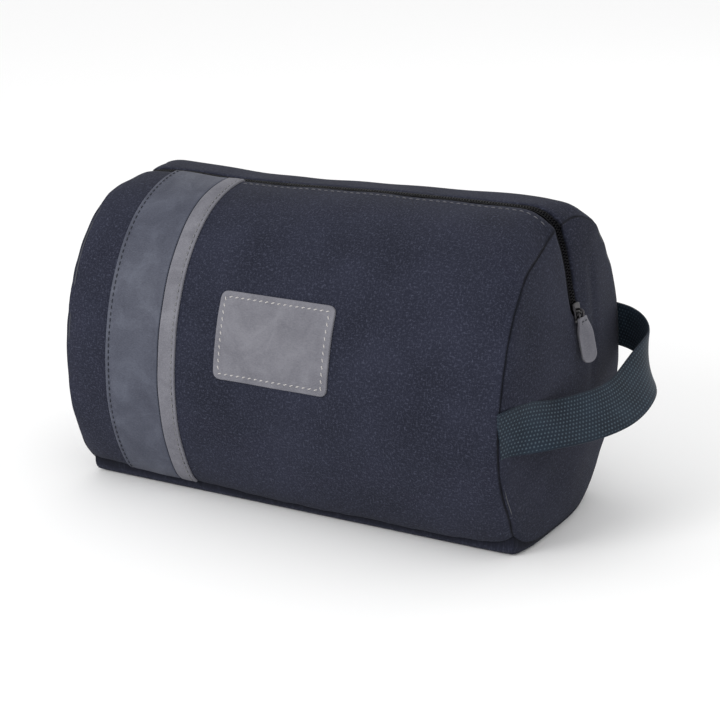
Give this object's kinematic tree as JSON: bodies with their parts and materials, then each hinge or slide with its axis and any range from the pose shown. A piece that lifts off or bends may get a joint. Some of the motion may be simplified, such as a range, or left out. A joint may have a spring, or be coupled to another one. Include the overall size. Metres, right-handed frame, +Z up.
{
  "type": "shaving kit bag",
  "caption": "Soft lined wash bag with a rounded body, a top zip that runs down both ends, leather stripes, a leather patch and a webbing carry loop.",
  "frame": {"origin": "centre of the base, on the surface that the bag stands on", "axes": "+X along the bag towards the carry loop, -Y the front with the stripes and patch, +Z up"},
  "size_m": [0.3042, 0.1536, 0.1679],
  "materials": {
    "canvas": "matt fine-weave canvas, dark navy",
    "lining": "plain woven polyester lining, dark grey",
    "board": "matt black stiffening board",
    "blue_leather": "waxed pull-up leather, blue-grey, lightly scuffed",
    "grey_leather": "waxed leather, grey",
    "thread": "twisted thread, off-white",
    "zip_tape": "woven polyester tape, black",
    "zip_coil": "nylon coil, black, slight sheen",
    "zip_metal": "black enamelled zinc",
    "webbing": "coarse woven webbing, dark teal-navy"
  },
  "bodies": {
    "root": {"base_panel": "canvas", "front_panel": "canvas", "back_panel": "canvas", "end_panel_right": "canvas", "end_panel_left": "canvas", "base_lining": "lining", "front_lining": "lining", "back_lining": "lining", "end_lining_right": "lining", "end_lining_left": "lining", "base_board": "board", "wide_stripe": "blue_leather", "narrow_stripe": "grey_leather", "front_patch": "grey_leather", "patch_stitching": "thread", "zip_end_tape_right": "zip_tape", "zip_end_tape_left": "zip_tape", "zip_end_coil_right": "zip_coil", "zip_end_coil_left": "zip_coil", "zip_stop_right": "zip_metal", "zip_stop_left": "zip_metal", "handle_tab_front": "webbing", "handle_tab_back": "webbing"},
    "front_flap": {"front_panel_top": "canvas", "front_lining_top": "lining", "front_zip_tape": "zip_tape", "front_zip_coil": "zip_coil", "end_panel_right_front": "canvas", "end_panel_left_front": "canvas", "end_lining_right_front": "lining", "end_lining_left_front": "lining", "wide_stripe_top": "blue_leather", "narrow_stripe_top": "grey_leather"},
    "back_flap": {"back_panel_top": "canvas", "back_lining_top": "lining", "back_zip_tape": "zip_tape", "back_zip_coil": "zip_coil", "end_panel_right_back": "canvas", "end_panel_left_back": "canvas", "end_lining_right_back": "lining", "end_lining_left_back": "lining"},
    "zip_slider": {"slider_body": "zip_metal", "slider_bridge": "zip_metal"},
    "zip_pull": {"pull_ring": "zip_metal", "pull_leather": "grey_leather", "pull_stitching": "thread"},
    "carry_loop": {"handle_webbing": "webbing"}
  },
  "joints": [
    {"name": "front_flap_fold", "type": "hinge", "parent": "root", "child": "front_flap", "pos_m": [0, -0.0668, 0.124], "axis": [1, 0, 0], "range_deg": [0, 40]},
    {"name": "back_flap_fold", "type": "hinge", "parent": "root", "child": "back_flap", "pos_m": [0, 0.0668, 0.124], "axis": [-1, 0, 0], "range_deg": [0, 40]},
    {"name": "slider_travel", "type": "slide", "parent": "root", "child": "zip_slider", "axis": [-0.2079, 0, 0.9781], "range_m": [0, 0.025]},
    {"name": "pull_swing", "type": "hinge", "parent": "zip_slider", "child": "zip_pull", "pos_m": [0.13825, 0, 0.1151], "axis": [0, -1, 0], "range_deg": [0, 150]},
    {"name": "loop_swing", "type": "hinge", "parent": "root", "child": "carry_loop", "pos_m": [0.138, 0, 0.0802], "axis": [0, -0.99, -0.1409], "range_deg": [-20, 35]}
  ]
}
